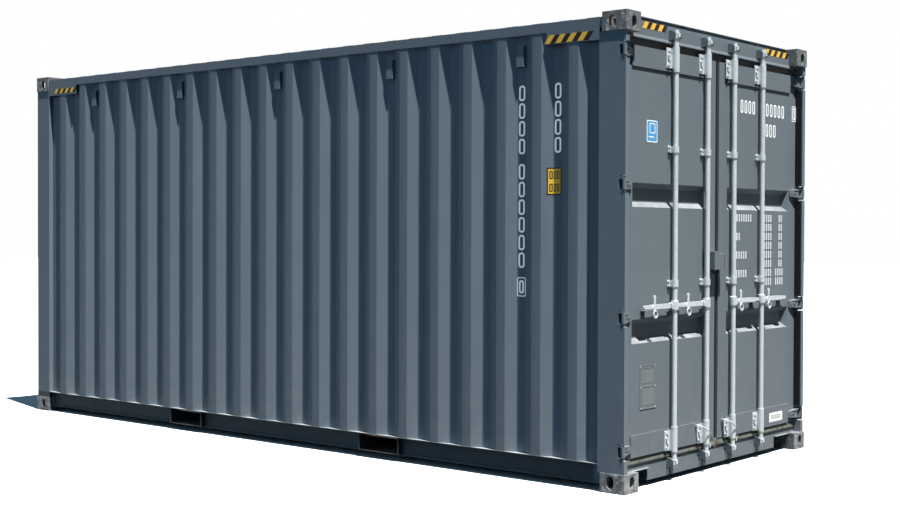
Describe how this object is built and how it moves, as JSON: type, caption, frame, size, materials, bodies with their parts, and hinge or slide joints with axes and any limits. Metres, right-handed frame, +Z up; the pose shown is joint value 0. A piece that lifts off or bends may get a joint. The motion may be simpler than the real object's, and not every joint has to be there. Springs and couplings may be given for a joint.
{
  "type": "shipping container",
  "caption": "Twenty-foot high-cube dry freight container with corrugated walls, corner castings and two hinged doors worked by locking bars.",
  "frame": {"origin": "middle of the underside, on the plane of the bottom corner castings", "axes": "+X along the length towards the doors, +Y to the right door's side, +Z up"},
  "size_m": [6.058, 2.438, 2.896],
  "materials": {
    "painted_steel": "satin, weathered",
    "corner_steel": "matt, scuffed",
    "galvanised": "matt zinc",
    "gasket_rubber": "matt",
    "rope": "twisted fibre",
    "plywood": "sealed"
  },
  "bodies": {
    "container": {"bottom_corner_castings": "corner_steel", "top_corner_castings": "corner_steel", "front_corner_posts": "painted_steel", "rear_corner_posts": "painted_steel", "hinge_lugs": "painted_steel", "hinge_pins": "galvanised", "top_side_rails": "painted_steel", "bottom_side_rails": "painted_steel", "side_wall_left": "painted_steel", "side_wall_right": "painted_steel", "front_wall": "painted_steel", "roof_panel": "painted_steel", "front_top_rail": "painted_steel", "front_sill": "painted_steel", "door_header": "painted_steel", "door_sill": "painted_steel", "floor_boards": "plywood", "cross_members": "painted_steel", "fork_pockets": "painted_steel", "ventilators": "painted_steel", "cam_keepers": "galvanised"},
    "left_door": {"left_door_frame": "painted_steel", "left_door_panel": "painted_steel", "left_door_gasket": "gasket_rubber", "left_hinge_blades": "painted_steel", "left_bar_bearings": "galvanised", "left_handle_rests": "galvanised", "left_lock_cover": "painted_steel", "left_door_rope": "rope"},
    "right_door": {"right_door_frame": "painted_steel", "right_door_panel": "painted_steel", "right_door_gasket": "gasket_rubber", "right_hinge_blades": "painted_steel", "right_bar_bearings": "galvanised", "right_handle_rests": "galvanised", "right_lock_cover": "painted_steel", "right_door_rope": "rope"},
    "lock_bar_1": {"lock_bar_1": "galvanised"},
    "handle_1": {"handle_1": "galvanised"},
    "lock_bar_2": {"lock_bar_2": "galvanised"},
    "handle_2": {"handle_2": "galvanised"},
    "lock_bar_3": {"lock_bar_3": "galvanised"},
    "handle_3": {"handle_3": "galvanised"},
    "lock_bar_4": {"lock_bar_4": "galvanised"},
    "handle_4": {"handle_4": "galvanised"}
  },
  "joints": [
    {"name": "left_door_hinge", "type": "hinge", "parent": "container", "child": "left_door", "pos_m": [3.006, -1.205, 1.448], "axis": [0, 0, -1], "range_deg": [0, 265]},
    {"name": "right_door_hinge", "type": "hinge", "parent": "container", "child": "right_door", "pos_m": [3.006, 1.205, 1.448], "axis": [0, 0, 1], "range_deg": [0, 265]},
    {"name": "lock_bar_1_turn", "type": "hinge", "parent": "left_door", "child": "lock_bar_1", "pos_m": [2.994, -0.59, 1.11], "axis": [0, 0, -1], "range_deg": [-100, 0]},
    {"name": "handle_1_lift", "type": "hinge", "parent": "lock_bar_1", "child": "handle_1", "pos_m": [2.994, -0.628, 1.11], "axis": [-1, 0, 0], "range_deg": [0, 25]},
    {"name": "lock_bar_2_turn", "type": "hinge", "parent": "left_door", "child": "lock_bar_2", "pos_m": [2.994, -0.18, 1.11], "axis": [0, 0, -1], "range_deg": [-100, 0]},
    {"name": "handle_2_lift", "type": "hinge", "parent": "lock_bar_2", "child": "handle_2", "pos_m": [2.994, -0.218, 1.11], "axis": [-1, 0, 0], "range_deg": [0, 25]},
    {"name": "lock_bar_3_turn", "type": "hinge", "parent": "right_door", "child": "lock_bar_3", "pos_m": [2.994, 0.18, 1.11], "axis": [0, 0, 1], "range_deg": [-100, 0]},
    {"name": "handle_3_lift", "type": "hinge", "parent": "lock_bar_3", "child": "handle_3", "pos_m": [2.994, 0.218, 1.11], "axis": [1, 0, 0], "range_deg": [0, 25]},
    {"name": "lock_bar_4_turn", "type": "hinge", "parent": "right_door", "child": "lock_bar_4", "pos_m": [2.994, 0.59, 1.11], "axis": [0, 0, 1], "range_deg": [-100, 0]},
    {"name": "handle_4_lift", "type": "hinge", "parent": "lock_bar_4", "child": "handle_4", "pos_m": [2.994, 0.628, 1.11], "axis": [1, 0, 0], "range_deg": [0, 25]}
  ]
}
